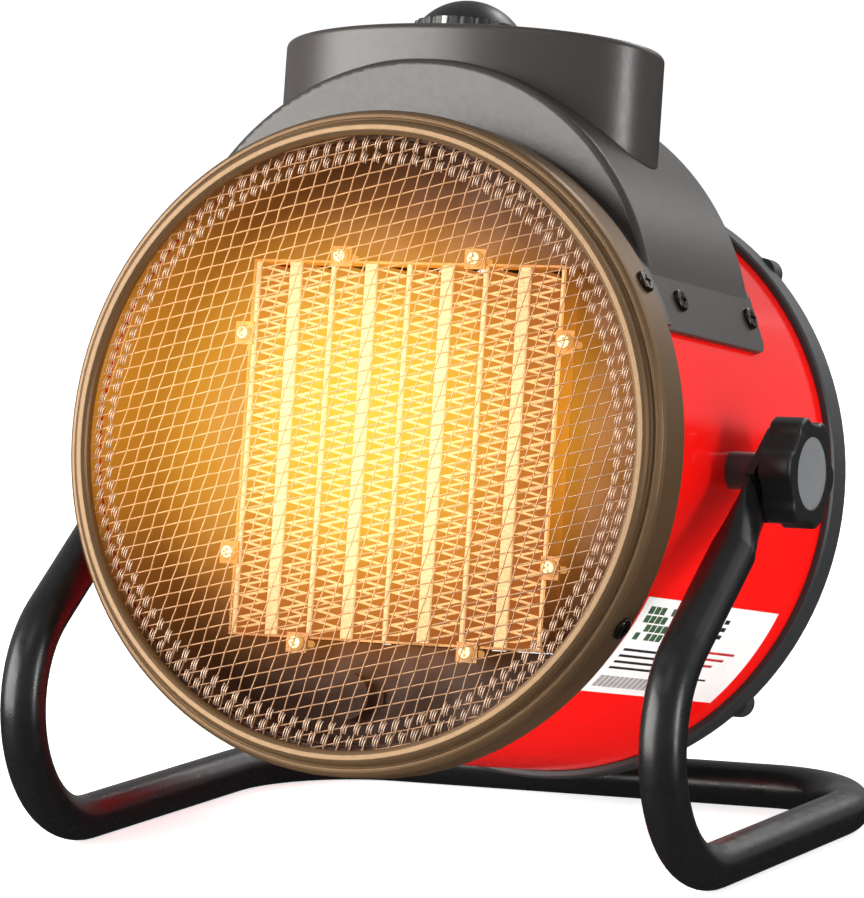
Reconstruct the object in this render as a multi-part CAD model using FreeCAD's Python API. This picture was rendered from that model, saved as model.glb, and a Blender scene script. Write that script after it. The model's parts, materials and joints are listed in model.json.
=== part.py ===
import FreeCAD, Part
import math
import os

# A round ceramic (PTC) space heater: a red steel drum that tilts in a bent tube stand.
# Millimetres. +Z is up, the hot face looks along -Y, and x = 0 is the plane of symmetry.
# The origin is on the floor under the middle of the whole heater.
#
# The drum and all it carries are drawn level, in the drum's own frame: the origin is the
# centre of the front opening, y runs back along the drum's axis, and z is up.
# place_on_stand() then tips them back about the side pivots.

# ---- Driving dimensions --------------------------------------------------------------

TILT = 10.35                 # how far the front is tipped up at rest, degrees
PIVOT_Y = -7.67              # side pivots, in the heater's frame
PIVOT_Z = 135.57
DRUM_PIVOT_Y = 77.0          # side pivots, back from the front opening

# Drum and front
DRUM_R = 107.3
DRUM_WALL = 1.0
DRUM_FRONT = 8.0
DRUM_BACK = 163.0
OPENING_R = 105.0
BEZEL_R = 114.0
BEZEL_DEPTH = 22.0
BEZEL_LIP = 4.2              # thickness of the lip in front of the mesh
MESH_R = 107.2
MESH_PITCH = 4.75
WIRE = 0.6
MESH_DIRECTIONS = (13.0, 74.0)  # how the two families of wires lie, up from x, in degrees

# Heating element, a stack of fins and ceramic bars
CORE_HALF_W = 59.9
CORE_HALF_H = 65.1
CORE_FRONT = 33.2
CORE_DEPTH = 24.0
CORE_DROP = 1.2              # its centre is this much below the drum's axis
BAR_COUNT = 4
BAR_W = 4.2
PLATE_T = 1.2
FIN_STEP = 1.86              # height of one fold
FIN_T = 0.55
FRAME_W = 0.8                # width of the frame around the core
FRAME_DEPTH = 10.0
TAB = (8.0, 5.0, 1.0)        # a fixing tab: along the edge, outwards, thickness
TAB_INSIDE = 2.0             # how far a tab laps over the front of the core

# Fan and motor
FAN_R = 88.0
FAN_FRONT = 141.0
FAN_BACK = 158.0
BLADES = 7
HUB_R = 20.0
MOTOR_R = 32.0
MOTOR_FRONT = 96.0
MOTOR_BACK = 134.0
SHAFT_R = 4.0

# Rear ring and guard
RING_R = 110.2
RING_FRONT = 160.1
RING_BACK = 173.7
BOSS_ANGLES = (43.0, 137.0, 223.0, 317.0)
BOSS_AT_R = 106.5
BOSS_R = 5.4
BOSS_BACK = 178.5

# Top housing, a saddle over the drum with an oval control tower on it
SADDLE_R = 95.3
SADDLE_Z = 40.3              # centre of its arch above the drum's axis
SADDLE_FRONT = 30.0
SADDLE_BACK = 116.5
SADDLE_ROUND = (2.5, 4.0)    # rounding of the arch's front and back edges
SADDLE_WALL = 2.5
FLANGE_R = 112.0
FLANGE_FRONT = 23.0
FLANGE_ANGLE = 66.3          # how far round the drum the flanges reach, from the top
FLANGE_LIP = 2.0             # thickness of a flange at its lower edge
FLANGE_CREASE_Z = 63.5       # height of the crease where a flange's flat face meets the arch
FLANGE_CORNER = 5.0
FLANGE_SCREW_SHARE = 0.42    # how far down the flat face the screws sit
TOWER_A = 71.8
TOWER_B = 40.5
TOWER_Y = 71.5
TOWER_Z = 144.1              # height of the rim at the tower's centre
TOWER_SLOPE = 6.0            # the rim falls to the back
TOWER_WALL = 2.6
KNOB_Y = 67.0
PANEL_RECESS = 1.2
PANEL_T = 2.5

# Stand, one bent tube with squashed ends
TUBE_R = 8.0
TUBE_WALL = 1.5
LEG_X = 122.5
FRONT_BEND_R = 42.0
FRONT_BEND_BACK = 50.75      # centre of the front bend, forward of the pivot
CORNER_R = 45.0
REAR_TUBE_BACK = 101.25      # centre of the rear tube, back from the pivot
FLAT_T = 3.0                 # a squashed end: two tube walls thick
FLAT_W = 22.0
FLAT_X = 121.3               # middle of its thickness, pressed in from the leg's centre line
FLAT_REACH = 13.5            # how far it runs on past the pivot
FLAT_CORNER = 4.5
SQUASH_LENGTH = 28.0

# Side pivots and star knobs, measured out along x
PIVOT_HOLE_R = 4.1
STUD_R = 4.0
NUT_BORE_R = 4.05
SPACER_R = 6.5
WASHER_R = 8.5
STAR_R = 19.8
STAR_LOBES = 6
STAR_DEPTH = 2.6             # from a lobe down to the hollow beside it
STAR_LEAN = 27.0             # how far the top lobe leans to the front, in degrees
STAR_INNER_X = 124.7
STAR_OUTER_X = 137.0

CLEAR = 0.3                  # gap between parts that turn on one another
X_AXIS = FreeCAD.Vector(1, 0, 0)
Y_AXIS = FreeCAD.Vector(0, 1, 0)
Z_AXIS = FreeCAD.Vector(0, 0, 1)
ORIGIN = FreeCAD.Vector(0, 0, 0)


# ---- Helpers -------------------------------------------------------------------------

def place_on_stand(shape):
    """Tip a shape of the drum's frame back about the side pivots and set it on the stand."""
    placed = shape.copy()
    placed.rotate(FreeCAD.Vector(0, DRUM_PIVOT_Y, 0), X_AXIS, -TILT)
    placed.translate(FreeCAD.Vector(0, PIVOT_Y - DRUM_PIVOT_Y, PIVOT_Z))
    return placed


def save(name, shape):
    """Write one node in the heater's own frame."""
    shape.exportStep(os.path.join("parts", name + ".step"))


def save_on_drum(name, shape):
    """Write one node that was drawn in the drum's frame."""
    save(name, place_on_stand(shape))


def along_y(radius, y0, y1, x=0.0, z=0.0):
    """A round bar along y."""
    return Part.makeCylinder(radius, y1 - y0, FreeCAD.Vector(x, y0, z), Y_AXIS)


def along_x(radius, x0, x1, y=DRUM_PIVOT_Y, z=0.0):
    """A round bar along x, on the pivot axis unless told otherwise."""
    return Part.makeCylinder(radius, x1 - x0, FreeCAD.Vector(x0, y, z), X_AXIS)


def ring(outer, inner, y0, y1, x=0.0, z=0.0):
    """A flat ring or tube about y."""
    return along_y(outer, y0, y1, x, z).cut(along_y(inner, y0 - 1, y1 + 1, x, z))


def box(x0, x1, y0, y1, z0, z1):
    """A box between two corners."""
    return Part.makeBox(x1 - x0, y1 - y0, z1 - z0, FreeCAD.Vector(x0, y0, z0))


def prism_y(points, y0, y1):
    """Extrude a closed outline of (x, z) points along y."""
    corners = [FreeCAD.Vector(x, y0, z) for x, z in points]
    face = Part.Face(Part.makePolygon(corners + corners[:1]))
    return face.extrude(FreeCAD.Vector(0, y1 - y0, 0))


def turned(points):
    """Turn a closed outline of (radius, y) points about the drum's axis."""
    corners = [FreeCAD.Vector(r, y, 0) for r, y in points]
    face = Part.Face(Part.makePolygon(corners + corners[:1]))
    return face.revolve(ORIGIN, Y_AXIS, 360)


def around(shape, angle):
    """A copy turned about the drum's axis, clockwise as seen from the front."""
    copy = shape.copy()
    copy.rotate(ORIGIN, Y_AXIS, angle)
    return copy


def fused(shapes):
    """One solid out of several that touch or overlap."""
    first = shapes[0]
    return first.multiFuse(shapes[1:]).removeSplitter()


def hexagon_prism(across_flats, start, length, axis):
    """A six-sided nut blank that starts at a point and runs along an axis."""
    corner_r = across_flats / 2 / math.cos(math.pi / 6)
    corners = []
    for i in range(6):
        turn = math.radians(60 * i)
        corners.append(FreeCAD.Vector(corner_r * math.cos(turn), corner_r * math.sin(turn), 0))
    blank = Part.Face(Part.makePolygon(corners + corners[:1])).extrude(FreeCAD.Vector(0, 0, length))
    blank.Placement = FreeCAD.Placement(start, FreeCAD.Rotation(Z_AXIS, axis))
    return blank


def pan_screw(start, axis, head_r=4.0, head_h=2.2, shank_r=1.9, shank=7.0):
    """A pan-head screw with a cross slot, from start under its head, with axis pointing out of it."""
    head = Part.makeCylinder(head_r, head_h)
    head = head.makeFillet(head_h * 0.6, [e for e in head.Edges if e.CenterOfMass.z > head_h * 0.9])
    cross_w = head_r * 0.28
    cross_l = head_r * 1.1
    for turn in (0, 90):
        slot_corner = FreeCAD.Vector(-cross_l / 2, -cross_w / 2, head_h * 0.45)
        slot = Part.makeBox(cross_l, cross_w, head_h, slot_corner)
        slot.rotate(ORIGIN, Z_AXIS, turn)
        head = head.cut(slot)
    screw = fused([head, Part.makeCylinder(shank_r, shank, FreeCAD.Vector(0, 0, -shank))])
    screw.Placement = FreeCAD.Placement(start, FreeCAD.Rotation(Z_AXIS, axis))
    return screw


def radial_screws(places, seat_r, **sizes):
    """Screws into the drum from outside, at (angle from the top, y) places."""
    screws = []
    for angle, y in places:
        turn = math.radians(angle)
        out = FreeCAD.Vector(math.sin(turn), 0, math.cos(turn))
        screws.append(pan_screw(out * seat_r + FreeCAD.Vector(0, y, 0), out, **sizes))
    return screws


def drilled(shape, tools):
    """Cut each tool out of a shape."""
    for tool in tools:
        shape = shape.cut(tool)
    return shape


# ---- Stand ---------------------------------------------------------------------------

def leg_geometry():
    """Where the front bend meets the rising leg, and the leg's direction, as (y, z)."""
    centre_y = PIVOT_Y - FRONT_BEND_BACK
    centre_z = TUBE_R + FRONT_BEND_R
    to_pivot = math.atan2(PIVOT_Z - centre_z, PIVOT_Y - centre_y)
    reach = math.hypot(PIVOT_Z - centre_z, PIVOT_Y - centre_y)
    rise = to_pivot - math.asin(FRONT_BEND_R / reach)
    touch = (centre_y - FRONT_BEND_R * math.sin(rise), centre_z + FRONT_BEND_R * math.cos(rise))
    return (centre_y, centre_z), touch, rise


def half_stand_path(end_back):
    """Centre line of the right half: rear tube, corner, floor tube, front bend and leg."""
    (bend_y, bend_z), touch, rise = leg_geometry()
    rear_y = PIVOT_Y + REAR_TUBE_BACK
    corner_x = LEG_X - CORNER_R
    corner_y = rear_y - CORNER_R
    diagonal = CORNER_R * math.sqrt(0.5)
    leg_end = (PIVOT_Y - end_back * math.cos(rise), PIVOT_Z - end_back * math.sin(rise))
    middle = math.pi + rise / 2
    bend_mid = (bend_y + FRONT_BEND_R * math.cos(middle), bend_z + FRONT_BEND_R * math.sin(middle))
    start = FreeCAD.Vector(0, rear_y, TUBE_R)
    corner_in = FreeCAD.Vector(corner_x, rear_y, TUBE_R)
    corner_mid = FreeCAD.Vector(corner_x + diagonal, corner_y + diagonal, TUBE_R)
    corner_out = FreeCAD.Vector(LEG_X, corner_y, TUBE_R)
    floor_end = FreeCAD.Vector(LEG_X, bend_y, TUBE_R)
    arc_mid = FreeCAD.Vector(LEG_X, bend_mid[0], bend_mid[1])
    arc_end = FreeCAD.Vector(LEG_X, touch[0], touch[1])
    top = FreeCAD.Vector(LEG_X, leg_end[0], leg_end[1])
    edges = [
        Part.LineSegment(start, corner_in).toShape(),
        Part.Arc(corner_in, corner_mid, corner_out).toShape(),
        Part.LineSegment(corner_out, floor_end).toShape(),
        Part.Arc(floor_end, arc_mid, arc_end).toShape(),
        Part.LineSegment(arc_end, top).toShape(),
    ]
    return Part.Wire(edges), rise


def swept_tube(path, radius):
    """A solid round bar along a path that starts along +x."""
    start = path.Vertexes[0].Point
    profile = Part.Wire(Part.Circle(start, X_AXIS, radius).toShape())
    return path.makePipeShell([profile], True, False)


def oval_section(back, half_t, half_w):
    """An oval across the leg, `back` before the pivot."""
    if half_t == half_w:
        return Part.Wire(Part.Circle(FreeCAD.Vector(0, -back, 0), Y_AXIS, half_t).toShape())
    curve = Part.Ellipse(FreeCAD.Vector(0, -back, half_w), FreeCAD.Vector(half_t, -back, 0),
                         FreeCAD.Vector(0, -back, 0))
    return Part.Wire(curve.toShape())


def squashed_end(rise):
    """The leg's end, squashed flat across x, with its pivot hole, drawn at the right pivot."""
    flat_back = FLAT_W / 2 + 3
    round_back = flat_back + SQUASH_LENGTH
    flat_half = FLAT_W / 2
    thin = FLAT_T / 2
    inset = FLAT_X - LEG_X
    flat_section = oval_section(flat_back, thin, flat_half)
    flat_section.translate(FreeCAD.Vector(inset, 0, 0))
    taper = Part.makeLoft([oval_section(round_back, TUBE_R, TUBE_R), flat_section], True)
    plate = box(inset - thin, inset + thin, -flat_back, FLAT_REACH, -flat_half, flat_half)
    tip_edges = [e for e in plate.Edges if e.CenterOfMass.y > FLAT_REACH - 0.1]
    corners = [e for e in tip_edges if abs(e.CenterOfMass.z) > flat_half - 0.1]
    end = fused([taper, plate.makeFillet(FLAT_CORNER, corners)])
    end = end.cut(Part.makeCylinder(PIVOT_HOLE_R, 4 * FLAT_T, FreeCAD.Vector(-2 * FLAT_T, 0, 0), X_AXIS))
    end.rotate(ORIGIN, X_AXIS, math.degrees(rise))
    end.translate(FreeCAD.Vector(LEG_X, PIVOT_Y, PIVOT_Z))
    return end, round_back


def stand_tube():
    """The whole stand: two mirrored halves of one bent tube."""
    rise = leg_geometry()[2]
    end, round_back = squashed_end(rise)
    path = half_stand_path(round_back)[0]
    half = swept_tube(path, TUBE_R).cut(swept_tube(path, TUBE_R - TUBE_WALL))
    half = half.fuse(end)
    other = half.mirror(ORIGIN, X_AXIS)
    return half.fuse(other).removeSplitter()


# ---- Drum, front and label -----------------------------------------------------------

BEZEL_SCREWS = ((59.5, 14.5), (120.5, 14.5), (239.5, 14.5), (300.5, 14.5))
SADDLE_SCREW_Y = (50.0, 109.6)
SCREW_HEAD_H = 1.6           # height of the screw heads that show
LABEL_ANGLES = (115.4, 137.3)
LABEL_Y = (38.0, 149.0)
LABEL_T = 0.25


def bezel():
    """The moulded front ring: a rounded lip, a groove, and a deep band round the drum."""
    grip = DRUM_R + 0.1
    outline = [
        (OPENING_R, BEZEL_LIP), (OPENING_R, 1.6), (105.5, 0.6), (106.6, 0.0), (108.2, 0.0),
        (109.3, 0.6), (109.8, 1.7), (109.9, 3.6), (110.6, 4.2), (111.4, 3.8), (112.4, 4.0),
        (113.4, 5.0), (BEZEL_R, 6.8), (BEZEL_R, BEZEL_DEPTH - 1.0), (BEZEL_R - 1.0, BEZEL_DEPTH),
        (grip, BEZEL_DEPTH), (grip, BEZEL_LIP),
    ]
    return turned(outline)


def drum_shell():
    """The rolled steel drum, with its pivot holes and a hole for the wires at the top."""
    shell = ring(DRUM_R, DRUM_R - DRUM_WALL, DRUM_FRONT, DRUM_BACK)
    holes = [along_x(STUD_R + 0.6, -120, 120)]
    holes.append(Part.makeCylinder(9, 40, FreeCAD.Vector(-12, 80, 90), Z_AXIS))
    return drilled(shell, holes)


def sector(angles, y0, y1, reach=200.0):
    """A wedge about the drum's axis between two angles from the top."""
    first, last = (math.radians(a) for a in angles)
    far = [(reach * math.sin(angle), reach * math.cos(angle)) for angle in (first, last)]
    return prism_y([(0.0, 0.0)] + far, y0, y1)


def rating_label():
    """The paper label on the drum's lower right side."""
    skin = ring(DRUM_R + LABEL_T, DRUM_R, LABEL_Y[0], LABEL_Y[1])
    return skin.common(sector(LABEL_ANGLES, LABEL_Y[0], LABEL_Y[1]))


def wire_layer(direction, front):
    """One layer of parallel wires across the opening, lying along a direction in its plane."""
    wires = []
    count = int(MESH_R // MESH_PITCH)
    for i in range(-count, count + 1):
        offset = i * MESH_PITCH
        half = math.sqrt(MESH_R ** 2 - (abs(offset) + WIRE / 2) ** 2)
        wires.append(box(-half, half, front, front + WIRE, offset - WIRE / 2, offset + WIRE / 2))
    return around(Part.makeCompound(wires), -direction)


def front_mesh():
    """Wire mesh with diamond openings, as two touching layers of thin bars."""
    layers = [wire_layer(direction, BEZEL_LIP + i * WIRE) for i, direction in enumerate(MESH_DIRECTIONS)]
    return Part.makeCompound([bar for layer in layers for bar in layer.Solids])


def mesh_rim():
    """The folded metal rim that clamps the mesh's edge."""
    back = BEZEL_LIP + 2 * WIRE
    return ring(MESH_R, MESH_R - 3.2, back, DRUM_FRONT)


def heat_liner():
    """The inner sleeve that keeps the drum's front cool."""
    return ring(103.6, 103.0, DRUM_FRONT + 1.0, CORE_FRONT + FRAME_DEPTH)


# ---- Heating element -----------------------------------------------------------------

def core_layout():
    """Left edges and widths of the core's columns, as (kind, x0, width), left to right."""
    fins = 2 * BAR_COUNT
    plates = BAR_COUNT + 1
    fin_w = (2 * CORE_HALF_W - BAR_COUNT * BAR_W - plates * PLATE_T) / fins
    columns = []
    x = -CORE_HALF_W
    for _ in range(BAR_COUNT):
        for kind, width in (("plate", PLATE_T), ("fin", fin_w), ("bar", BAR_W), ("fin", fin_w)):
            columns.append((kind, x, width))
            x += width
    columns.append(("plate", x, PLATE_T))
    return columns


def core_parts(kind):
    """The plain columns of one kind: ceramic bars in their sleeves, or aluminium plates."""
    pieces = []
    for column, x, width in core_layout():
        if column == kind:
            pieces.append(box(x, x + width, CORE_FRONT, CORE_FRONT + CORE_DEPTH,
                              -CORE_HALF_H - CORE_DROP, CORE_HALF_H - CORE_DROP))
    return Part.makeCompound(pieces)


def folded_fin(x0, width):
    """One corrugated strip, folded back and forth between its two neighbours."""
    half_h = CORE_HALF_H - 1.0
    folds = int(2 * half_h / FIN_STEP)
    base = -CORE_DROP - folds * FIN_STEP / 2
    fold_depth = FIN_T / math.sin(math.atan2(FIN_STEP, width))
    right_side = []
    left_side = []
    for i in range(folds + 1):
        z = base + i * FIN_STEP
        at_left = i % 2 == 0
        right_side.append((x0 + fold_depth if at_left else x0 + width, z))
        left_side.append((x0 if at_left else x0 + width - fold_depth, z))
    left_side.reverse()
    return prism_y(right_side + left_side, CORE_FRONT + 0.8, CORE_FRONT + CORE_DEPTH - 0.8)


def core_fins():
    """All the corrugated strips."""
    return Part.makeCompound([folded_fin(x, width) for kind, x, width in core_layout() if kind == "fin"])


def tab_places():
    """Where the frame's fixing tabs stand on its outer edge, as (x, z, outward turn in degrees)."""
    side = CORE_HALF_W + FRAME_W
    top = CORE_HALF_H + FRAME_W
    places = []
    for sign in (-1, 1):
        places.append((sign * 26.0, top - CORE_DROP, 0))
        places.append((sign * 33.0, -top - CORE_DROP, 180))
        places.append((side, sign * 38.5, 90))
        places.append((-side, sign * 38.5, 270))
    return places


def core_frame():
    """The pressed frame round the core, with eight fixing tabs at its front edge."""
    half_w = CORE_HALF_W + FRAME_W
    half_h = CORE_HALF_H + FRAME_W
    back = CORE_FRONT + FRAME_DEPTH
    outer = box(-half_w, half_w, CORE_FRONT - 0.6, back, -half_h - CORE_DROP, half_h - CORE_DROP)
    inner = box(-CORE_HALF_W, CORE_HALF_W, CORE_FRONT - 2, back + 1,
                -CORE_HALF_H - CORE_DROP, CORE_HALF_H - CORE_DROP)
    pieces = [outer.cut(inner)]
    length, reach, thick = TAB
    front = CORE_FRONT - 0.6
    for x, z, turn in tab_places():
        tab = box(-length / 2, length / 2, front - thick, front, -TAB_INSIDE, reach)
        tab.rotate(ORIGIN, Y_AXIS, turn)
        tab.translate(FreeCAD.Vector(x, 0, z))
        pieces.append(tab)
    return fused(pieces)


def tab_screws():
    """The long screws through the frame's tabs into the baffle."""
    screws = []
    front = CORE_FRONT - 0.6 - TAB[2]
    reach = 1.6
    for x, z, turn in tab_places():
        out = math.radians(turn)
        seat = FreeCAD.Vector(x + reach * math.sin(out), front, z + reach * math.cos(out))
        screws.append(pan_screw(seat, FreeCAD.Vector(0, -1, 0), 2.8, 1.6, 1.2, FRAME_DEPTH + 4.0))
    return screws


def air_baffle():
    """The plate that fills the drum around the core, so that all the air goes through it."""
    front = CORE_FRONT + FRAME_DEPTH
    plate = along_y(DRUM_R - DRUM_WALL, front, front + 1.2)
    window = box(-CORE_HALF_W - 1, CORE_HALF_W + 1, front - 1, front + 3,
                 -CORE_HALF_H - CORE_DROP - 1, CORE_HALF_H - CORE_DROP + 1)
    return plate.cut(window)


def terminal_blades():
    """Connector blades at the back of each ceramic bar's top."""
    blades = []
    for kind, x, width in core_layout():
        if kind == "bar":
            middle = x + width / 2
            back = CORE_FRONT + CORE_DEPTH
            blades.append(box(middle - 0.4, middle + 0.4, back, back + 11, 52.0, 58.3))
    return Part.makeCompound(blades)


def thermal_cutout():
    """The round overheat switch on the baffle, below the core."""
    seat = CORE_FRONT + FRAME_DEPTH
    can = along_y(8.0, seat - 5.0, seat, -15.0, -86.0)
    ears = box(-27.0, -3.0, seat - 1.2, seat, -89.0, -83.0)
    return fused([can, ears])


# ---- Fan and motor -------------------------------------------------------------------

def motor_case():
    """The closed motor can, hollow for the rotor, with ribs round its middle."""
    outline = [
        (10.0, MOTOR_FRONT), (24.0, MOTOR_FRONT), (MOTOR_R - 2, MOTOR_FRONT + 6), (MOTOR_R - 2, MOTOR_FRONT + 11),
        (MOTOR_R, MOTOR_FRONT + 11), (MOTOR_R, MOTOR_BACK - 9), (MOTOR_R - 2, MOTOR_BACK - 9),
        (MOTOR_R - 2, MOTOR_BACK), (10.0, MOTOR_BACK), (10.0, MOTOR_BACK - 4),
        (26.0, MOTOR_BACK - 4), (26.0, MOTOR_FRONT + 6), (10.0, MOTOR_FRONT + 6),
    ]
    return turned(outline)


def motor_bushes():
    """The two plain bearings in the motor's ends."""
    front = ring(10.0, SHAFT_R + 0.05, MOTOR_FRONT - 2, MOTOR_FRONT + 6)
    back = ring(10.0, SHAFT_R + 0.05, MOTOR_BACK - 4, MOTOR_BACK + 2)
    return Part.makeCompound([front, back])


def motor_rotor():
    """The rotor that turns inside the can."""
    return ring(25.4, SHAFT_R, MOTOR_FRONT + 8, MOTOR_BACK - 6)


def motor_screws():
    """The four screws that hold the motor to its bracket."""
    screws = []
    for i in range(4):
        turn = math.radians(90 * i)
        seat = FreeCAD.Vector(26 * math.sin(turn), MOTOR_BACK + 1.6, 26 * math.cos(turn))
        screws.append(pan_screw(seat, Y_AXIS, 2.8, 1.6, 1.4, 5.0))
    return screws


def motor_bracket():
    """A ring behind the motor on four arms, with feet along the drum's wall."""
    front = MOTOR_BACK
    back = MOTOR_BACK + 1.6
    wall = DRUM_R - DRUM_WALL
    pieces = [ring(MOTOR_R - 1, 10.5, front, back)]
    for i in range(4):
        arm = box(-8, 8, front, back, MOTOR_R - 4, wall)
        foot = box(-8, 8, front - 16, back, wall - 3.0, wall + 3.0)
        foot = foot.common(ring(wall, wall - 1.6, front - 16, back))
        pieces.append(around(fused([arm.common(along_y(wall, front, back)), foot]), 45 + 90 * i))
    return fused(pieces)


def fan_blade():
    """One twisted blade pointing up, from inside the hub to the tip."""
    middle = (FAN_FRONT + FAN_BACK) / 2
    sections = []
    for radius, chord, pitch in ((HUB_R - 3, 22.0, 38.0), (FAN_R + 4, 44.0, 16.0)):
        turn = math.radians(pitch)
        along = (math.cos(turn) * chord / 2, math.sin(turn) * chord / 2)
        over = (-math.sin(turn) * 0.9, math.cos(turn) * 0.9)
        corners = []
        for end, side in ((-1, -1), (1, -1), (1, 1), (-1, 1)):
            corners.append(FreeCAD.Vector(end * along[0] + side * over[0],
                                          middle + end * along[1] + side * over[1], radius))
        sections.append(Part.makePolygon(corners + corners[:1]))
    blade = Part.makeLoft(sections, True, True)
    return blade.common(along_y(FAN_R, FAN_FRONT - 5, FAN_BACK + 5))


def fan_impeller():
    """The moulded axial fan: a hub with seven blades."""
    hub = ring(HUB_R, SHAFT_R, FAN_FRONT, FAN_BACK)
    blade = fan_blade()
    blades = [around(blade, 360.0 * i / BLADES) for i in range(BLADES)]
    return fused([hub] + [b.cut(along_y(HUB_R - 2, FAN_FRONT - 5, FAN_BACK + 5)) for b in blades])


def fan_shroud():
    """The collar round the fan's tips."""
    wall = DRUM_R - DRUM_WALL
    plate = ring(wall, FAN_R + 3.0, FAN_FRONT + 6, FAN_FRONT + 7.2)
    collar = ring(FAN_R + 4.2, FAN_R + 3.0, FAN_FRONT - 2, FAN_FRONT + 12)
    return fused([plate, collar])


# ---- Rear ring and guard -------------------------------------------------------------

GUARD_R = 101.0
GUARD_FRONT = 167.5
GUARD_BACK = 170.0


def rear_ring():
    """The moulded ring over the drum's back edge, with four screw bosses."""
    grip = DRUM_R + 0.1
    outline = [
        (grip, RING_FRONT), (RING_R - 0.8, RING_FRONT), (RING_R, RING_FRONT + 1.0),
        (RING_R, RING_BACK - 2.0), (RING_R - 2.0, RING_BACK), (97.0, RING_BACK), (97.0, GUARD_BACK),
        (GUARD_R, GUARD_BACK), (GUARD_R, DRUM_BACK), (grip, DRUM_BACK),
    ]
    pieces = [turned(outline)]
    for angle in BOSS_ANGLES:
        turn = math.radians(angle)
        boss = along_y(BOSS_R, GUARD_BACK, BOSS_BACK, BOSS_AT_R * math.sin(turn), BOSS_AT_R * math.cos(turn))
        boss = boss.makeFillet(1.6, [e for e in boss.Edges if e.CenterOfMass.y > BOSS_BACK - 0.1])
        pieces.append(boss)
    return fused(pieces)


def rear_screws():
    """The screws in the rear bosses."""
    screws = []
    for angle in BOSS_ANGLES:
        turn = math.radians(angle)
        seat = FreeCAD.Vector(BOSS_AT_R * math.sin(turn), BOSS_BACK, BOSS_AT_R * math.cos(turn))
        screws.append(pan_screw(seat, Y_AXIS, 3.4, 1.8, 1.6, 9.0))
    return screws


def rear_guard():
    """The air inlet guard: rings on spokes."""
    pieces = [ring(GUARD_R, GUARD_R - 4.0, GUARD_FRONT, GUARD_BACK), along_y(20.0, GUARD_FRONT, GUARD_BACK)]
    spacing = 8.5
    radius = 20.0 + spacing
    while radius < GUARD_R - 5.0:
        pieces.append(ring(radius + 1.1, radius - 1.1, GUARD_FRONT, GUARD_BACK))
        radius += spacing
    for i in range(12):
        spoke = box(-1.2, 1.2, GUARD_FRONT, GUARD_BACK, 17.0, GUARD_R - 2.0)
        pieces.append(around(spoke, 30 * i + 15))
    return fused(pieces)


# ---- Top housing ---------------------------------------------------------------------

def rim_height(y):
    """Height of the tower's rim plane at y."""
    return TOWER_Z - (y - TOWER_Y) * math.tan(math.radians(TOWER_SLOPE))


def on_panel(shape):
    """Move a shape drawn about +z at the origin onto the rim plane, under the selector knob."""
    placed = shape.copy()
    placed.rotate(ORIGIN, X_AXIS, -TOWER_SLOPE)
    placed.translate(FreeCAD.Vector(0, KNOB_Y, rim_height(KNOB_Y)))
    return placed


def oval(inset, z0, z1):
    """An upright oval prism, the tower's plan less an inset."""
    curve = Part.Ellipse(FreeCAD.Vector(0, TOWER_Y, z0), TOWER_A - inset, TOWER_B - inset)
    return Part.Face(Part.Wire(curve.toShape())).extrude(FreeCAD.Vector(0, 0, z1 - z0))


def arch(radius, y0, y1):
    """A bar with the arch's radius."""
    return along_y(radius, y0, y1, 0, SADDLE_Z)


def saddle_envelope():
    """The outer shape of the arch, with its front and back edges rounded."""
    bar = arch(SADDLE_R, SADDLE_FRONT, SADDLE_BACK)
    for edge_y, radius in zip((SADDLE_FRONT, SADDLE_BACK), SADDLE_ROUND):
        bar = bar.makeFillet(radius, [e for e in bar.Edges if abs(e.CenterOfMass.y - edge_y) < 0.1])
    return bar


def wire_gland_hole(radius):
    """A bar on the cord inlet's axis, through the saddle's back wall."""
    return along_y(radius, SADDLE_BACK - 8, SADDLE_BACK + 20, 0, GLAND_Z)


def flange_face():
    """The right flange's flat face, as its lower and upper ends in x and z."""
    turn = math.radians(FLANGE_ANGLE)
    lip_r = DRUM_R + FLANGE_LIP
    low = (lip_r * math.sin(turn), lip_r * math.cos(turn))
    high = (math.sqrt(FLANGE_R ** 2 - FLANGE_CREASE_Z ** 2), FLANGE_CREASE_Z)
    return low, high


def flange_waste():
    """What is planed off a round flange on the right to leave its face flat."""
    (low_x, low_z), (high_x, high_z) = flange_face()
    dx, dz = high_x - low_x, high_z - low_z
    below = (low_x - dx, low_z - dz)
    outline = [below, (high_x, high_z), (high_x + 40, high_z), (high_x + 40, below[1])]
    return prism_y(outline, SADDLE_FRONT, 200)


def saddle_flange():
    """The saddle's foot over the drum: a thick band with a flat face and a round corner on each side."""
    band = along_y(FLANGE_R, FLANGE_FRONT, SADDLE_BACK)
    band = band.common(sector((-FLANGE_ANGLE, 0), 0, 200).fuse(sector((0, FLANGE_ANGLE), 0, 200)))
    corners = []
    for edge in band.Edges:
        middle = edge.CenterOfMass
        turn = abs(math.degrees(math.atan2(middle.x, middle.z)))
        if abs(middle.y - SADDLE_BACK) < 0.1 and abs(turn - FLANGE_ANGLE) < 1.0:
            corners.append(edge)
    band = band.makeFillet(FLANGE_CORNER, corners)
    waste = flange_waste()
    return drilled(band, [waste, waste.mirror(ORIGIN, X_AXIS)])


def saddle_screws():
    """The screws that stand square on the flanges' flat faces."""
    (low_x, low_z), (high_x, high_z) = flange_face()
    x = high_x + (low_x - high_x) * FLANGE_SCREW_SHARE
    z = high_z + (low_z - high_z) * FLANGE_SCREW_SHARE
    screws = []
    for side in (1, -1):
        out = FreeCAD.Vector(side * (high_z - low_z), 0, low_x - high_x).normalize()
        for y in SADDLE_SCREW_Y:
            screws.append(pan_screw(FreeCAD.Vector(side * x, y, z), out, head_h=SCREW_HEAD_H))
    return screws


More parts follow.
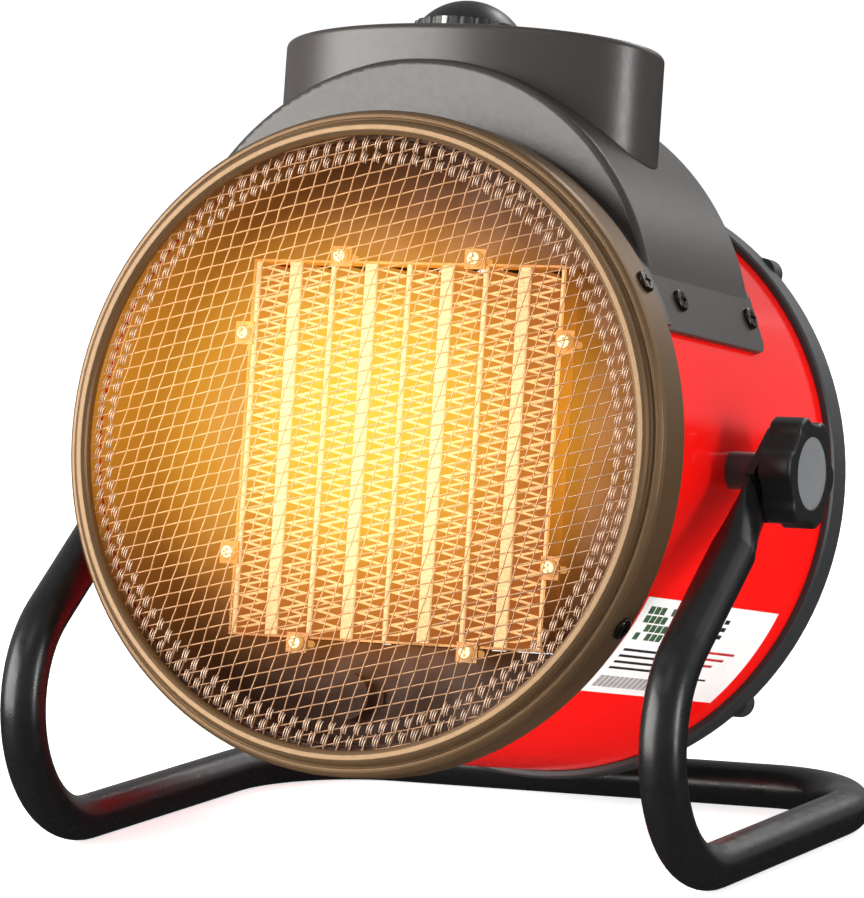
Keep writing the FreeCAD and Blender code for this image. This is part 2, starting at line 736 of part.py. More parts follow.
def top_saddle():
    """The moulded housing over the drum: front and back walls, an arch, and two flanges."""
    arch_part = saddle_envelope().common(box(-100, 100, 0, 200, 55, 150))
    body = fused([arch_part, saddle_flange()]).cut(along_y(DRUM_R + 0.1, 0, 200))
    hollow = arch(SADDLE_R - SADDLE_WALL, SADDLE_FRONT + SADDLE_WALL, SADDLE_BACK - SADDLE_WALL)
    hollow = hollow.common(box(-100, 100, 0, 200, 55, 150))
    return drilled(body, [hollow, oval(9.0, 100, 150), wire_gland_hole(8.0)])


def control_tower():
    """The oval tower: a wall that stands on the saddle, with a rounded rim."""
    top_cut = on_panel(box(-200, 200, -200, 200, 0, 100))
    block = oval(0.0, 90, 170).cut(top_cut)
    rim = [e for e in block.Edges if e.CenterOfMass.z > 120 and e.Length > 200]
    block = block.makeFillet(2.2, rim)
    return drilled(block, [oval(TOWER_WALL, 80, 180), saddle_envelope()])


def control_panel():
    """The plate that closes the tower, a little below its rim."""
    slab = on_panel(box(-200, 200, -200, 200, -PANEL_RECESS - PANEL_T, -PANEL_RECESS))
    plate = slab.common(oval(TOWER_WALL, 100, 180))
    return plate.cut(on_panel(Part.makeCylinder(5.0, 60, FreeCAD.Vector(0, 0, -30))))


def dial_plate():
    """The thin printed disc round the selector knob."""
    disc = Part.makeCylinder(31.0, 0.4, FreeCAD.Vector(0, 0, -PANEL_RECESS))
    return on_panel(disc.cut(Part.makeCylinder(5.0, 10, FreeCAD.Vector(0, 0, -5))))


def rotary_switch():
    """The switch under the panel, with its threaded bush through it."""
    top = -PANEL_RECESS - PANEL_T
    case = Part.makeBox(34, 30, 18, FreeCAD.Vector(-17, -15, top - 18))
    bush = Part.makeCylinder(5.0, PANEL_T + 2.4, FreeCAD.Vector(0, 0, top))
    contacts = []
    for i in range(4):
        x = -12.5 + 8 * i
        contacts.append(Part.makeBox(1.0, 6.3, 8, FreeCAD.Vector(x, -3, top - 26)))
    switch = fused([case, bush] + contacts)
    return on_panel(switch.cut(Part.makeCylinder(3.05, 40, FreeCAD.Vector(0, 0, top - 14))))


def switch_nut():
    """The nut that holds the switch to the panel."""
    bottom = -PANEL_RECESS + 0.4
    nut = hexagon_prism(14.0, FreeCAD.Vector(0, 0, bottom), 1.6, Z_AXIS)
    return on_panel(nut.cut(Part.makeCylinder(5.0, 10, FreeCAD.Vector(0, 0, bottom - 2))))


def terminal_block():
    """The wiring block inside the saddle, shaped below to sit on the drum."""
    block = box(22, 52, 62, 80, 90, 119)
    block = block.cut(along_y(DRUM_R, 0, 200))
    wells = [Part.makeCylinder(2.6, 8, FreeCAD.Vector(27 + 10 * i, 71, 113), Z_AXIS) for i in range(3)]
    return drilled(block, wells)


GLAND_Z = 120.5
CORD_R = 3.6                 # the inlet's bore, for a 7 mm cord


def cable_gland():
    """The cord inlet in the saddle's back wall."""
    flange = hexagon_prism(20.0, FreeCAD.Vector(0, SADDLE_BACK, GLAND_Z), 5.0, Y_AXIS)
    neck = along_y(8.0, SADDLE_BACK - 7, SADDLE_BACK, 0, GLAND_Z)
    nose = along_y(7.5, SADDLE_BACK + 5, SADDLE_BACK + 15, 0, GLAND_Z)
    nose = nose.makeFillet(2.0, [e for e in nose.Edges if e.CenterOfMass.y > SADDLE_BACK + 14.9])
    return fused([flange, neck, nose]).cut(wire_gland_hole(CORD_R))


def gland_nut():
    """The nut on the inlet's neck, inside the saddle."""
    start = FreeCAD.Vector(0, SADDLE_BACK - SADDLE_WALL - 3.5, GLAND_Z)
    return hexagon_prism(20.0, start, 3.5, Y_AXIS).cut(wire_gland_hole(8.0))


# ---- Selector knob -------------------------------------------------------------------

SELECTOR_R = 20.0
DOME_R = 22.0
DOME_DROP = 5.7              # the dome's centre is this far below the rim plane


def selector_knob():
    """A domed knob on a fluted skirt, with a raised pointer."""
    skirt = Part.makeCylinder(SELECTOR_R, 6.5)
    for i in range(24):
        turn = math.radians(15 * i)
        flute = Part.makeCylinder(1.6, 10, FreeCAD.Vector((SELECTOR_R + 0.9) * math.cos(turn),
                                                          (SELECTOR_R + 0.9) * math.sin(turn), -1))
        skirt = skirt.cut(flute)
    dome = Part.makeSphere(DOME_R, FreeCAD.Vector(0, 0, -DOME_DROP))
    dome = dome.common(Part.makeCylinder(DOME_R, 40, FreeCAD.Vector(0, 0, 2)))
    knob = skirt.fuse(dome.common(Part.makeCylinder(18.2, 40, FreeCAD.Vector(0, 0, 2))))
    hollow = Part.makeCylinder(9.5, 2.6, FreeCAD.Vector(0, 0, -0.1))
    bore = Part.makeCylinder(3.0, 10.5, FreeCAD.Vector(0, 0, -0.5))
    return on_panel(drilled(knob, [hollow, bore]).removeSplitter())


def selector_shaft():
    """The switch's spindle, which the knob is pushed onto."""
    return on_panel(Part.makeCylinder(3.0, 10 + 14, FreeCAD.Vector(0, 0, -14)))


def selector_pointer():
    """The light strip let into the knob's skirt, pointing at the first mark."""
    return on_panel(Part.makeBox(1.6, 1.2, 5.5, FreeCAD.Vector(-0.8, -SELECTOR_R - 0.9, 0.6)))


# ---- Side pivots and star knobs ------------------------------------------------------

def both_sides(shape):
    """A part on the right and its mirror image on the left, in one node."""
    return Part.makeCompound([shape, shape.mirror(ORIGIN, X_AXIS)])


def pivot_spacer():
    """The right spacer between the drum and the stand, shaped to the drum."""
    end = FLAT_X - FLAT_T / 2 - CLEAR - 1.5
    bar = along_x(SPACER_R, DRUM_R - 3, end).cut(along_x(STUD_R + CLEAR, 0, 200))
    return bar.cut(along_y(DRUM_R, 0, 200))


def pivot_washer():
    """The right steel washer between the spacer and the stand."""
    end = FLAT_X - FLAT_T / 2 - CLEAR
    return along_x(WASHER_R, end - 1.5, end).cut(along_x(STUD_R + CLEAR, 0, 200))


def captive_nut():
    """The right nut inside the drum, which the knob's stud screws into."""
    wall = DRUM_R - DRUM_WALL
    start = FreeCAD.Vector(wall - 8.0, DRUM_PIVOT_Y, 0)
    nut = hexagon_prism(13.0, start, 8.5, X_AXIS).common(along_y(wall, 0, 200))
    return nut.cut(along_x(NUT_BORE_R, 0, 200))


def star_outline(scale):
    """The lobed outline of a star knob about the pivot, in the plane x = 0."""
    points = []
    count = STAR_LOBES * 12
    broad = 1.8
    for i in range(count):
        turn = 2 * math.pi * i / count
        wave = math.tanh(broad * math.cos(STAR_LOBES * (turn + math.radians(STAR_LEAN)))) / math.tanh(broad)
        radius = scale * (STAR_R - STAR_DEPTH * (1 - wave) / 2)
        points.append(FreeCAD.Vector(0, DRUM_PIVOT_Y + radius * math.sin(turn), radius * math.cos(turn)))
    curve = Part.BSplineCurve()
    curve.interpolate(points, PeriodicFlag=True)
    return Part.Wire(curve.toShape())


def star_grip():
    """The right star knob: a short collar, a lobed grip and a shallow seat for its cap."""
    grip_start = STAR_INNER_X + 0.8
    face = Part.Face(star_outline(1.0))
    face.translate(FreeCAD.Vector(grip_start, 0, 0))
    grip = face.extrude(FreeCAD.Vector(STAR_OUTER_X - grip_start, 0, 0))
    grip = grip.makeFillet(1.2, [e for e in grip.Edges if e.CenterOfMass.x > STAR_OUTER_X - 0.1])
    collar = along_x(14.0, STAR_INNER_X, grip_start)
    knob = fused([grip, collar])
    seat = along_x(12.5, STAR_OUTER_X - 1.6, STAR_OUTER_X + 1)
    stud_bore = along_x(STUD_R, 0, STAR_OUTER_X - 4)
    return drilled(knob, [seat, stud_bore])


def star_cap():
    """The right knob's round cap, dished in the middle."""
    cap = along_x(12.5, STAR_OUTER_X - 1.6, STAR_OUTER_X - 0.2)
    dish_r = 60.0
    dish = Part.makeSphere(dish_r, FreeCAD.Vector(STAR_OUTER_X - 1.2 + dish_r, DRUM_PIVOT_Y, 0))
    return cap.cut(dish)


def star_stud():
    """The right knob's steel stud."""
    return along_x(STUD_R, DRUM_R - 12, STAR_OUTER_X - 4)


def star_washer():
    """The right friction washer between the knob and the stand."""
    start = FLAT_X + FLAT_T / 2 + CLEAR
    return along_x(10.5, start, STAR_INNER_X).cut(along_x(STUD_R, 0, 200))


# ---- Write the nodes -----------------------------------------------------------------

def write_stand():
    save("stand_tube", stand_tube())


def write_drum():
    bezel_screws = radial_screws(BEZEL_SCREWS, BEZEL_R, head_h=SCREW_HEAD_H, shank=9.0)
    flange_screws = saddle_screws()
    save_on_drum("drum_shell", drilled(drum_shell(), bezel_screws + flange_screws))
    save_on_drum("front_bezel", drilled(bezel(), bezel_screws))
    save_on_drum("bezel_screws", Part.makeCompound(bezel_screws))
    save_on_drum("top_saddle", drilled(top_saddle(), flange_screws))
    save_on_drum("saddle_screws", Part.makeCompound(flange_screws))
    save_on_drum("rating_label", rating_label())
    save_on_drum("front_mesh", front_mesh())
    save_on_drum("mesh_rim", mesh_rim())
    save_on_drum("heat_liner", heat_liner())


def write_heating_element():
    screws = tab_screws()
    save_on_drum("ceramic_bars", core_parts("bar"))
    save_on_drum("core_plates", core_parts("plate"))
    save_on_drum("core_fins", core_fins())
    save_on_drum("core_frame", drilled(core_frame(), screws))
    save_on_drum("core_screws", Part.makeCompound(screws))
    save_on_drum("core_terminals", terminal_blades())
    save_on_drum("air_baffle", drilled(air_baffle(), screws))
    save_on_drum("thermal_cutout", thermal_cutout())


def write_fan():
    screws = motor_screws()
    save_on_drum("motor_case", drilled(motor_case(), screws))
    save_on_drum("motor_bracket", drilled(motor_bracket(), screws))
    save_on_drum("motor_screws", Part.makeCompound(screws))
    save_on_drum("motor_bushes", motor_bushes())
    save_on_drum("motor_rotor", motor_rotor())
    save_on_drum("motor_shaft", along_y(SHAFT_R, MOTOR_FRONT - 4, FAN_BACK + 5))
    save_on_drum("fan_impeller", fan_impeller())
    nut = hexagon_prism(13.0, FreeCAD.Vector(0, FAN_BACK, 0), 4.0, Y_AXIS)
    save_on_drum("impeller_nut", nut.cut(along_y(SHAFT_R, 0, 200)))
    save_on_drum("fan_shroud", fan_shroud())


def write_rear():
    screws = rear_screws()
    save_on_drum("rear_ring", drilled(rear_ring(), screws))
    save_on_drum("rear_screws", Part.makeCompound(screws))
    save_on_drum("rear_guard", rear_guard())


def write_controls():
    save_on_drum("control_tower", control_tower())
    save_on_drum("control_panel", control_panel())
    save_on_drum("dial_plate", dial_plate())
    save_on_drum("rotary_switch", rotary_switch())
    save_on_drum("switch_nut", switch_nut())
    save_on_drum("terminal_block", terminal_block())
    save_on_drum("cable_gland", cable_gland())
    save_on_drum("gland_nut", gland_nut())
    pointer = selector_pointer()
    save_on_drum("selector_knob", selector_knob().cut(pointer))
    save_on_drum("selector_pointer", pointer)
    save_on_drum("selector_shaft", selector_shaft())


def write_pivots():
    save_on_drum("pivot_spacers", both_sides(pivot_spacer()))
    save_on_drum("pivot_washers", both_sides(pivot_washer()))
    save_on_drum("captive_nuts", both_sides(captive_nut()))
    knob_parts = (("grip", star_grip()), ("cap", star_cap()), ("stud", star_stud()), ("washer", star_washer()))
    for name, right in knob_parts:
        save_on_drum("knob_right_" + name, right)
        save_on_drum("knob_left_" + name, right.mirror(ORIGIN, X_AXIS))


os.makedirs("parts", exist_ok=True)
write_stand()
write_drum()
write_heating_element()
write_fan()
write_rear()
write_controls()
write_pivots()
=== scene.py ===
import json
import math
import random

import bpy
from mathutils import Matrix, Vector


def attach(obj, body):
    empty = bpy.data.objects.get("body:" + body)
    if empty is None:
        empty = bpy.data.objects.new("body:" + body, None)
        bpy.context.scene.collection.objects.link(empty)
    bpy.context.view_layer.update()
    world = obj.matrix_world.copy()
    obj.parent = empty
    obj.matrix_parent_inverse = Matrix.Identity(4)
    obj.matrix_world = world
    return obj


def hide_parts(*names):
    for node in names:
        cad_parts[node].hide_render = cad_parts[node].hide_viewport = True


# Looks of a round ceramic space heater. Lengths are metres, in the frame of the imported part.
# "Drum" points are drawn level: x right, y back from the front opening, z up, about its axis.

# Driving dimensions, as the CAD part has them
PIVOT_BACK = 0.077           # side pivots, back from the front opening
MESH_FRONT = 0.0042          # front of the wire mesh
MESH_R = 0.1068
MESH_PITCH = 0.00475
MESH_DIRECTIONS = (13.0, 74.0)  # how the two families of wires lie, up from x, in degrees
WIRE_R = 0.00026
WEAVE_BACK = 2.3             # middle of the weave behind the mesh's front, in wire radii
CORE_FRONT = 0.0332          # front face of the heating element
PAINTED_GLOW_CENTRE = (-0.018, 0.010)    # centre of the element's painted glow, across and up from the drum's axis
PAINTED_GLOW_REACH = 0.090           # how far from there the painted glow fades to its weakest
PAINTED_GLOW_SKIN = (0.0009, 0.0019)  # depths in the element between which its pale painted front glow turns to a deeper painted orange
LINER_PAINTED_LIGHT = (0.040, 0.100)  # distances between which the painted orange light on the sheet steel inside fades
WIRE_PAINTED_LIGHT = (0.030, 0.105)   # and the painted light on the wire mesh
LABEL_R = 0.10758            # radius of the print, just clear of the label
LABEL_ANGLES = (115.4, 137.3)  # its upper and lower edges, round the drum from the top, in degrees
LABEL_BACK = (0.038, 0.149)  # its two ends, back from the front opening
LABEL_STEPS = 5              # flats along one mark, round the drum
SELECTOR_R = 0.020
PRINT_T = 0.00006            # thickness of the print on the label and the dial

# Ticks round the selector; angles are degrees about its axis, from the heater's right side
DIAL_FIRST = -90             # the first tick is at the front
DIAL_STEP = -10              # and the rest go round by the left to the back
DIAL_TICKS = 19
DIAL_LONG_EVERY = 6
TICK_HALF = 0.0002           # half the width of a short tick
LONG_TICK_HALF = 0.00035
SHORT_TICK_SHARE = 0.45      # length of a short tick as a share of a long one

# The hem where the mesh is folded back on itself, just inside the opening
HEM_ROWS = (0.0975, 0.1020)  # radii of its two rows of strokes
HEM_STROKE = 0.0046          # length of a stroke
HEM_STEP = 0.0049            # from one cluster of strokes to the next, round the row
HEM_GAP = 0.00085            # from one stroke to the next in a cluster
HEM_WIRE_R = 0.00022
HEM_BOW = 0.0005             # how far a stroke bows to the front
HEM_JITTER = 0.0004          # how far a stroke strays along its own length

# Camera: round the object, above the horizon, roll, distance, and what it looks at
CAMERA_AZIMUTH = 27.12       # from the front towards the right side, in degrees
CAMERA_ELEVATION = 5.99
CAMERA_ROLL = -0.78
CAMERA_DISTANCE = 1.793
CAMERA_TARGET = (0.0243, -0.07135, 0.1463)
CAMERA_LENS = 211.9

# Room
FLOOR_HALF = 60.0
FLOOR_LIFT = 0.74            # strength of the floor's own white light
ROOM_ABOVE = 0.34            # grey above the horizon
ROOM_BELOW = 0.02            # and below it
ROOM_HORIZON = (0.49, 0.51)  # where the room turns pale, as a share from straight down to straight up

# Soft boxes: name, azimuth round the object, elevation, distance, width, height, power, colour
SOFT_BOXES = (
    ("key_left", -46.0, 14.0, 2.2, 2.3, 1.5, 100.0, (1.0, 0.98, 0.95)),
    ("front_high", 12.0, 54.0, 2.6, 1.2, 0.8, 4.0, (1.0, 0.98, 0.96)),
    ("back_panel", 150.0, 33.0, 2.4, 2.0, 1.6, 16.0, (1.0, 0.99, 0.98)),
    ("arch_strip", 176.0, 36.0, 2.2, 0.5, 0.25, 6.0, (1.0, 1.0, 1.0)),
    ("tower_strip", 88.0, 5.0, 2.2, 0.30, 0.9, 22.0, (1.0, 1.0, 1.0)),
)

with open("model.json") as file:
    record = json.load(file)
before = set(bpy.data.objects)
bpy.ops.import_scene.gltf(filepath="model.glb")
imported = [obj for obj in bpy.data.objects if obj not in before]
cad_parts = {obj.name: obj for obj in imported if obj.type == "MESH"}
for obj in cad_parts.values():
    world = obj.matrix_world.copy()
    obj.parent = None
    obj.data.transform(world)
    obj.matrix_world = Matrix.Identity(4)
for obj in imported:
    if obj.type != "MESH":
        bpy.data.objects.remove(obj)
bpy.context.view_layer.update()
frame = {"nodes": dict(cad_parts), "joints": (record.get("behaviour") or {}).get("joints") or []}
nodes = frame["nodes"]
joints = {joint["name"]: joint for joint in frame["joints"]}
random.seed(7)


# ---- The drum's own frame ------------------------------------------------------------

def drum_matrix():
    """Takes a point of the level drum to its tipped place on the stand."""
    back = Vector(joints["fan_spin"]["axis"])
    tip = math.atan2(back.z, back.y)
    pivot = Vector(joints["tilt"]["pos_m"])
    to_pivot = Matrix.Translation((0, -PIVOT_BACK, 0))
    return Matrix.Translation(pivot) @ Matrix.Rotation(tip, 4, "X") @ to_pivot


DRUM = drum_matrix()
DRUM_BACK = (DRUM.to_3x3() @ Vector((0, 1, 0))).normalized()
DRUM_UP = (DRUM.to_3x3() @ Vector((0, 0, 1))).normalized()
# Centre of the painted glow on the element's front face, in its place on the stand
PAINTED_GLOW_POINT = DRUM @ Vector((PAINTED_GLOW_CENTRE[0], CORE_FRONT, PAINTED_GLOW_CENTRE[1]))


# ---- Mesh helpers --------------------------------------------------------------------

def new_piece(name, verts, faces, material, body, smooth=True):
    """A mesh object that rides on a body."""
    mesh = bpy.data.meshes.new(name)
    mesh.from_pydata([tuple(v) for v in verts], [], faces)
    mesh.validate()
    mesh.polygons.foreach_set("use_smooth", [smooth] * len(mesh.polygons))
    mesh.materials.append(material)
    piece = bpy.data.objects.new(name, mesh)
    bpy.context.scene.collection.objects.link(piece)
    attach(piece, body)
    return piece


def add_tube(verts, faces, points, radius, across, outward, sides=6):
    """Adds a closed round bar along points; across and outward span its section."""
    first = len(verts)
    for point in points:
        for k in range(sides):
            turn = 2 * math.pi * k / sides
            offset = across * (radius * math.cos(turn)) + outward * (radius * math.sin(turn))
            verts.append(point + offset)
    for i in range(len(points) - 1):
        for k in range(sides):
            here = first + i * sides + k
            beside = first + i * sides + (k + 1) % sides
            faces.append((here, beside, beside + sides, here + sides))
    faces.append(tuple(first + k for k in reversed(range(sides))))
    faces.append(tuple(first + (len(points) - 1) * sides + k for k in range(sides)))


def in_drum(verts):
    """Level drum points in their place on the stand."""
    return [DRUM @ v for v in verts]


# ---- Materials -----------------------------------------------------------------------

class Shader:
    """A principled material that is built up one feature at a time."""

    def __init__(self, name, colour, roughness, metallic=0.0, specular=0.5):
        self.material = bpy.data.materials.new(name)
        self.material.use_nodes = True
        self.tree = self.material.node_tree
        self.shader = self.tree.nodes["Principled BSDF"]
        self.shader.inputs["Base Color"].default_value = (*colour, 1)
        self.shader.inputs["Roughness"].default_value = roughness
        self.shader.inputs["Metallic"].default_value = metallic
        self.shader.inputs["Specular IOR Level"].default_value = specular
        self.colour = colour
        self.roughness = roughness
        self.normal = None
        self.place = self.node("ShaderNodeTexCoord")

    def node(self, kind, **settings):
        """A new node, with its properties set."""
        made = self.tree.nodes.new(kind)
        for key, value in settings.items():
            setattr(made, key, value)
        return made

    def link(self, source, target):
        """Joins an output to an input."""
        self.tree.links.new(source, target)

    def noise(self, scale, detail=3.0, stretch=None):
        """A noise value over the surface, by place on the object."""
        texture = self.node("ShaderNodeTexNoise")
        texture.inputs["Scale"].default_value = scale
        texture.inputs["Detail"].default_value = detail
        source = self.place.outputs["Object"]
        if stretch:
            mapping = self.node("ShaderNodeMapping")
            mapping.inputs["Scale"].default_value = stretch
            self.link(source, mapping.inputs["Vector"])
            source = mapping.outputs["Vector"]
        self.link(source, texture.inputs["Vector"])
        return texture.outputs["Fac"]

    def ranged(self, value, from_low, from_high, to_low, to_high):
        """A value mapped from one range to another, with soft ends."""
        node = self.node("ShaderNodeMapRange", interpolation_type="SMOOTHSTEP")
        ends = {"From Min": from_low, "From Max": from_high, "To Min": to_low, "To Max": to_high}
        for socket, number in ends.items():
            node.inputs[socket].default_value = number
        self.link(value, node.inputs["Value"])
        return node.outputs["Result"]

    def mixed(self, factor, first, second):
        """A colour mixed from two, each a colour or a socket."""
        node = self.node("ShaderNodeMix", data_type="RGBA")
        self.link(factor, node.inputs["Factor"])
        for socket, value in (("A", first), ("B", second)):
            slot = next(s for s in node.inputs if s.name == socket and s.type == "RGBA")
            if isinstance(value, tuple):
                slot.default_value = (*value, 1)
            else:
                self.link(value, slot)
        return next(s for s in node.outputs if s.type == "RGBA")

    def vary_colour(self, amount, scale):
        """Slow light and dark drift in the colour."""
        light = tuple(min(1.0, c * (1 + amount)) for c in self.colour)
        dark = tuple(c * (1 - amount) for c in self.colour)
        factor = self.ranged(self.noise(scale), 0.35, 0.65, 0.0, 1.0)
        self.link(self.mixed(factor, dark, light), self.shader.inputs["Base Color"])
        return self

    def wear(self, worn_colour, amount=0.5):
        """Lighter, rubbed edges where the surface turns sharply."""
        pointed = self.node("ShaderNodeNewGeometry").outputs["Pointiness"]
        factor = self.ranged(pointed, 0.53, 0.62, 0.0, amount)
        source = self.shader.inputs["Base Color"]
        before = source.links[0].from_socket if source.links else self.colour
        self.link(self.mixed(factor, before, worn_colour), source)
        return self

    def vary_roughness(self, amount, scale, stretch=None):
        """Patches that are a little duller or glossier."""
        noise = self.noise(scale, 4.0, stretch)
        value = self.ranged(noise, 0.3, 0.7, self.roughness - amount, self.roughness + amount)
        self.link(value, self.shader.inputs["Roughness"])
        return self

    def soft_edges(self, radius):
        """Small rounding on every edge."""
        bevel = self.node("ShaderNodeBevel", samples=4)
        bevel.inputs["Radius"].default_value = radius
        self.chain(bevel.inputs["Normal"], bevel.outputs["Normal"])
        return self

    def bump(self, height, scale, strength=1.0, detail=2.0, stretch=None):
        """Fine relief of that height in metres."""
        node = self.node("ShaderNodeBump")
        node.inputs["Strength"].default_value = strength
        node.inputs["Distance"].default_value = height
        self.link(self.noise(scale, detail, stretch), node.inputs["Height"])
        self.chain(node.inputs["Normal"], node.outputs["Normal"])
        return self

    def chain(self, before, after):
        """Puts a normal step after the ones already there."""
        if self.normal:
            self.link(self.normal, before)
        self.normal = after
        self.link(after, self.shader.inputs["Normal"])

    def painted_glow_distance(self, squeeze):
        """Distance from the centre of the painted glow in the plane of the front, with x squeezed."""
        away = self.node("ShaderNodeVectorMath", operation="SUBTRACT")
        self.link(self.place.outputs["Object"], away.inputs[0])
        away.inputs[1].default_value = PAINTED_GLOW_POINT
        parts = []
        for axis, scale in ((Vector((1, 0, 0)), squeeze), (DRUM_UP, 1.0)):
            along = self.node("ShaderNodeVectorMath", operation="DOT_PRODUCT")
            self.link(away.outputs["Vector"], along.inputs[0])
            along.inputs[1].default_value = axis * scale
            parts.append(along.outputs["Value"])
        joined = self.node("ShaderNodeCombineXYZ")
        self.link(parts[0], joined.inputs["X"])
        self.link(parts[1], joined.inputs["Y"])
        length = self.node("ShaderNodeVectorMath", operation="LENGTH")
        self.link(joined.outputs["Vector"], length.inputs[0])
        return length.outputs["Value"]

    def depth(self):
        """How far behind the core's front face a point is."""
        along = self.node("ShaderNodeVectorMath", operation="DOT_PRODUCT")
        self.link(self.place.outputs["Object"], along.inputs[0])
        along.inputs[1].default_value = DRUM_BACK
        behind = self.node("ShaderNodeMath", operation="SUBTRACT")
        self.link(along.outputs["Value"], behind.inputs[0])
        behind.inputs[1].default_value = PAINTED_GLOW_POINT.dot(DRUM_BACK)
        return behind.outputs["Value"]

    def ramp(self, value, stops):
        """A colour ramp over 0 to 1."""
        node = self.node("ShaderNodeValToRGB")
        node.color_ramp.elements[0].position = stops[0][0]
        node.color_ramp.elements[0].color = (*stops[0][1], 1)
        node.color_ramp.elements[1].position = stops[-1][0]
        node.color_ramp.elements[1].color = (*stops[-1][1], 1)
        for place, colour in stops[1:-1]:
            node.color_ramp.elements.new(place).color = (*colour, 1)
        self.link(value, node.inputs["Fac"])
        return node.outputs["Color"]

    def glow(self, colour, strength):
        """Painted glow: emission from a colour socket, on a part that is no lamp."""
        self.link(colour, self.shader.inputs["Emission Color"])
        self.shader.inputs["Emission Strength"].default_value = strength
        return self


# Stops for the ramps of painted glow and painted light
def painted_glow_stops(*colours):
    """Evenly spaced ramp stops."""
    last = len(colours) - 1
    return [(i / last, colour) for i, colour in enumerate(colours)]


def painted_glow_material(name, front_colours, deep_colours, strength, streak_scale):
    """A part of the element with a painted glow, though it is no lamp: pale in front, deeper painted orange
    behind; the colour at the glow's centre first.
    """
    glow_shader = Shader(name, (0.22, 0.14, 0.06), 0.5, metallic=0.4, specular=0.3)
    reach = glow_shader.ranged(glow_shader.painted_glow_distance(0.95), 0.0, PAINTED_GLOW_REACH, 0.0, 1.0)
    front = glow_shader.ramp(reach, painted_glow_stops(*front_colours))
    deep = glow_shader.ramp(reach, painted_glow_stops(*deep_colours))
    # Painted light and shade by depth: front faces glow pale, the parts behind them deeper orange
    behind = glow_shader.ranged(glow_shader.depth(), *PAINTED_GLOW_SKIN, 0.0, 1.0)
    base = glow_shader.mixed(behind, front, deep)
    streaks = glow_shader.ranged(glow_shader.noise(streak_scale, 3.0, (1.0, 1.0, 3.0)), 0.35, 0.7, 0.35, 0.0)
    glow_shader.glow(glow_shader.mixed(streaks, base, deep), strength)
    glow_shader.bump(0.0002, 900)
    return glow_shader.material


def fin_material():
    """Folded fins with a painted glow: painted bright light on the front folds, painted orange shade in the
    depths between them.
    """
    return painted_glow_material(
        "fins_painted_glow",
        ((1.0, 0.93, 0.42), (1.0, 0.88, 0.38), (1.0, 0.72, 0.28), (0.78, 0.42, 0.15)),
        ((0.86, 0.68, 0.08), (0.82, 0.50, 0.055), (0.60, 0.23, 0.035), (0.32, 0.09, 0.02)),
        0.92, 160)


def bar_material():
    """Ceramic bars and the plates beside them, with a painted glow paler than the fins'."""
    return painted_glow_material(
        "bars_painted_glow",
        ((1.0, 0.95, 0.50), (1.0, 0.93, 0.50), (1.0, 0.82, 0.42), (0.86, 0.55, 0.26)),
        ((0.84, 0.62, 0.07), (0.80, 0.46, 0.05), (0.56, 0.21, 0.03), (0.30, 0.09, 0.02)),
        1.0, 420)


def inner_material(name, colour, metallic):
    """Sheet steel inside the drum: a very dark base colour that also paints the shade in there, and painted
    orange light from the element that fades with distance from the glow's centre.
    """
    inner = Shader(name, colour, 0.55, metallic=metallic, specular=0.2)
    reach = inner.ranged(inner.painted_glow_distance(0.72), *LINER_PAINTED_LIGHT, 0.0, 1.0)
    stops = painted_glow_stops((0.95, 0.40, 0.030), (0.60, 0.22, 0.018), (0.22, 0.07, 0.010), (0.020, 0.008, 0.004))
    # Painted light: orange emission that fades away from the element's glow centre
    inner.glow(inner.ramp(reach, stops), 0.8)
    inner.vary_roughness(0.12, 60)
    inner.bump(0.0001, 700, stretch=(1.0, 6.0, 1.0))
    return inner.material


def wire_material():
    """Woven wire with a warm tint and painted orange light from the element behind it, fading with distance
    from the glow's centre.
    """
    wire = Shader("wire_steel", (0.26, 0.15, 0.085), 0.36, metallic=0.5)
    reach = wire.ranged(wire.painted_glow_distance(0.85), *WIRE_PAINTED_LIGHT, 0.0, 1.0)
    stops = painted_glow_stops((1.0, 0.72, 0.22), (1.0, 0.50, 0.12), (0.62, 0.25, 0.06), (0.16, 0.075, 0.035))
    # Painted light: orange emission on the wire, strongest near the glow's centre
    wire.glow(wire.ramp(reach, stops), 0.6)
    wire.vary_roughness(0.1, 300)
    return wire.material


def hem_material():
    """The folded ends of the wires: paler than the mesh, with faint, patchy painted orange light."""
    hem = Shader("hem_wire", (0.50, 0.37, 0.28), 0.34, metallic=0.5)
    patches = hem.ranged(hem.noise(90), 0.3, 0.7, 0.0, 1.0)
    # Painted light: faint, patchy warm emission on the hem
    hem.glow(hem.ramp(patches, painted_glow_stops((0.16, 0.09, 0.05), (0.36, 0.22, 0.14))), 0.5)
    return hem.material


def moulded(name, colour, roughness, worn=None):
    """Moulded plastic with a fine spark-eroded grain."""
    made = Shader(name, colour, roughness, specular=0.45)
    made.vary_colour(0.05, 12)
    made.vary_roughness(0.02, 400)
    made.soft_edges(0.0006)
    made.bump(0.00006, 1500, 0.5)
    if worn:
        made.wear(worn)
    return made.material


def red_enamel():
    """Glossy stoved enamel on the drum, with a slight orange peel."""
    enamel = Shader("red_enamel", (0.86, 0.006, 0.004), 0.10, specular=0.5)
    enamel.vary_colour(0.03, 12)
    enamel.vary_roughness(0.02, 40)
    enamel.bump(0.00003, 160, 0.12)
    return enamel.material


def powder_coat():
    """Black powder coat on the stand, rubbed grey where it bends sharply."""
    coat = Shader("powder_coat_black", (0.007, 0.007, 0.0075), 0.3, specular=0.4)
    coat.vary_roughness(0.05, 140)
    coat.bump(0.00007, 1100, 0.4)
    coat.wear((0.05, 0.05, 0.05), 0.4)
    return coat.material


